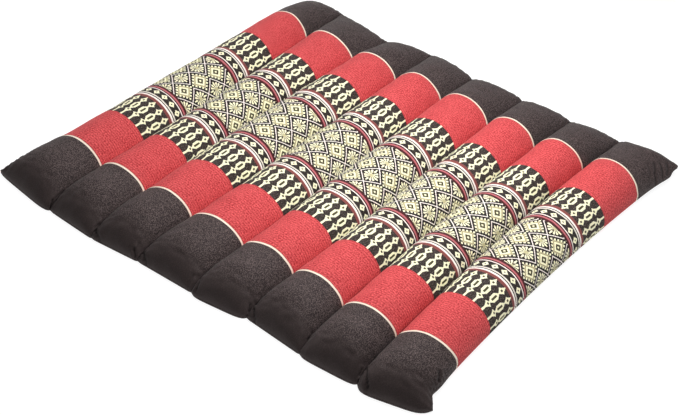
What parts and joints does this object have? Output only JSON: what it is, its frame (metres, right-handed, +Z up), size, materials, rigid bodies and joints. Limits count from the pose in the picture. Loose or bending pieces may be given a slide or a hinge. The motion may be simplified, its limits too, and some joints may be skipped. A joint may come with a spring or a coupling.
{
  "type": "rollable meditation cushion",
  "caption": "Square filled floor mat of parallel stuffed rolls with sewn channels between them, pinched end seams, drawn-in sides and short pointed corners, so that it rolls up.",
  "frame": {"origin": "middle of the mat's bounding box, on the surface that it lies on", "axes": "+X along the rolls towards the rear end, +Y across the rolls, +Z up out of the patterned face"},
  "size_m": [0.7492, 0.7782, 0.0593],
  "materials": {
    "woven_cotton": "matt woven cotton in bands of black, red and a cream-and-black traditional figured weave"
  },
  "bodies": {
    "root": {"cushion": "woven_cotton"}
  },
  "joints": []
}
